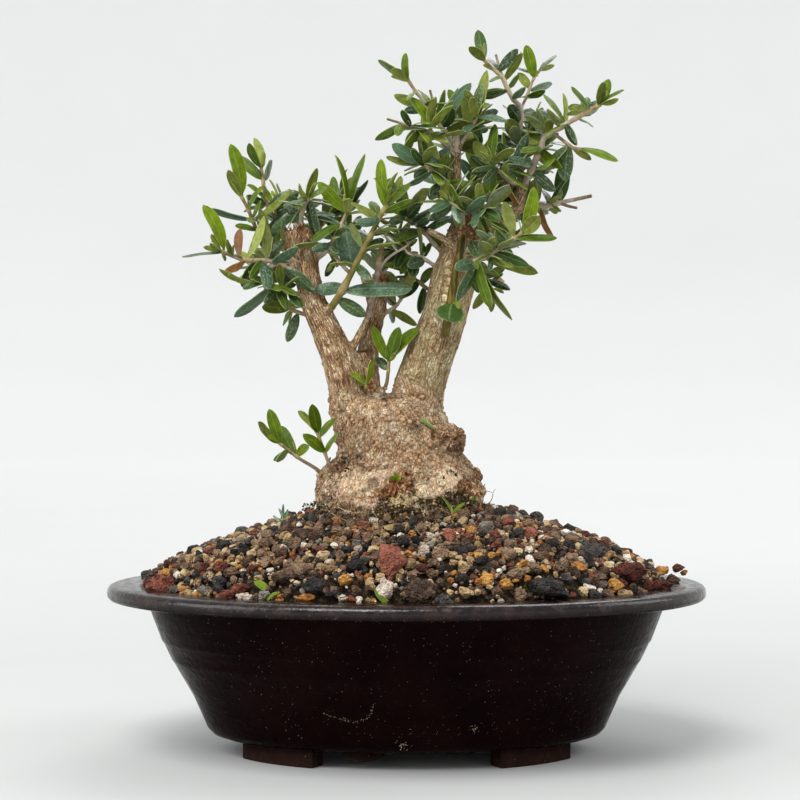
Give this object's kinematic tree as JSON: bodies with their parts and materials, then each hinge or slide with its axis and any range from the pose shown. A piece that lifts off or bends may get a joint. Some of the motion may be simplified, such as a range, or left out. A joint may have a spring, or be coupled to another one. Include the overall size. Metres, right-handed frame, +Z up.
{
  "type": "olive bonsai",
  "caption": "Olive bonsai: a thick old trunk forked into cut-back stems with leafy shoots, planted in heaped mixed gravel in a low oval dark plastic pot with a flat lip.",
  "frame": {"origin": "on the surface it stands on, under the middle of the pot's four feet", "axes": "+X along the pot's long side, towards the tree's taller right-hand stem; +Y towards the tree's back, so its front faces -Y; +Z up"},
  "size_m": [0.2204, 0.168, 0.2677],
  "materials": {
    "pot_plastic": "moulded very dark brown plastic, glossy, with dust and dried water marks",
    "drainage_net": "plain black plastic net",
    "gravel": "loose lava, baked clay grains and pumice, dull and dusty",
    "olive_bark": "dry fissured bark with raised pores, and bare deadwood at the cuts",
    "olive_leaf": "leathery leaves, glossy above and dull below, on grey brown twigs"
  },
  "bodies": {
    "root": {"back_left_high": "olive_leaf", "back_left_low": "olive_leaf", "back_left_outer": "olive_leaf", "back_middle": "olive_leaf", "back_middle_right": "olive_leaf", "back_right_high": "olive_leaf", "back_right_inner": "olive_leaf", "back_right_low": "olive_leaf", "back_right_outer": "olive_leaf", "back_right_tip": "olive_leaf", "back_right_top": "olive_leaf", "drainage_mesh_left": "drainage_net", "drainage_mesh_right": "drainage_net", "pot": "pot_plastic", "shoot_crotch": "olive_leaf", "shoot_crown_burst": "olive_leaf", "shoot_crown_centre": "olive_leaf", "shoot_crown_front": "olive_leaf", "shoot_crown_left": "olive_leaf", "shoot_crown_low": "olive_leaf", "shoot_crown_right": "olive_leaf", "shoot_crown_sage": "olive_leaf", "shoot_crown_top": "olive_leaf", "shoot_foot_left": "olive_leaf", "shoot_foot_right": "olive_leaf", "shoot_golden": "olive_leaf", "shoot_left_crest": "olive_leaf", "shoot_left_inner": "olive_leaf", "shoot_left_low": "olive_leaf", "shoot_left_reach": "olive_leaf", "shoot_left_tall": "olive_leaf", "shoot_left_top": "olive_leaf", "shoot_left_under": "olive_leaf", "shoot_middle": "olive_leaf", "shoot_notch_lower": "olive_leaf", "shoot_notch_middle": "olive_leaf", "shoot_notch_upper": "olive_leaf", "shoot_right_front": "olive_leaf", "shoot_right_grey": "olive_leaf", "shoot_right_low": "olive_leaf", "shoot_stem_bud": "olive_leaf", "shoot_tiny": "olive_leaf", "soil": "gravel", "trunk": "olive_bark"}
  },
  "joints": []
}
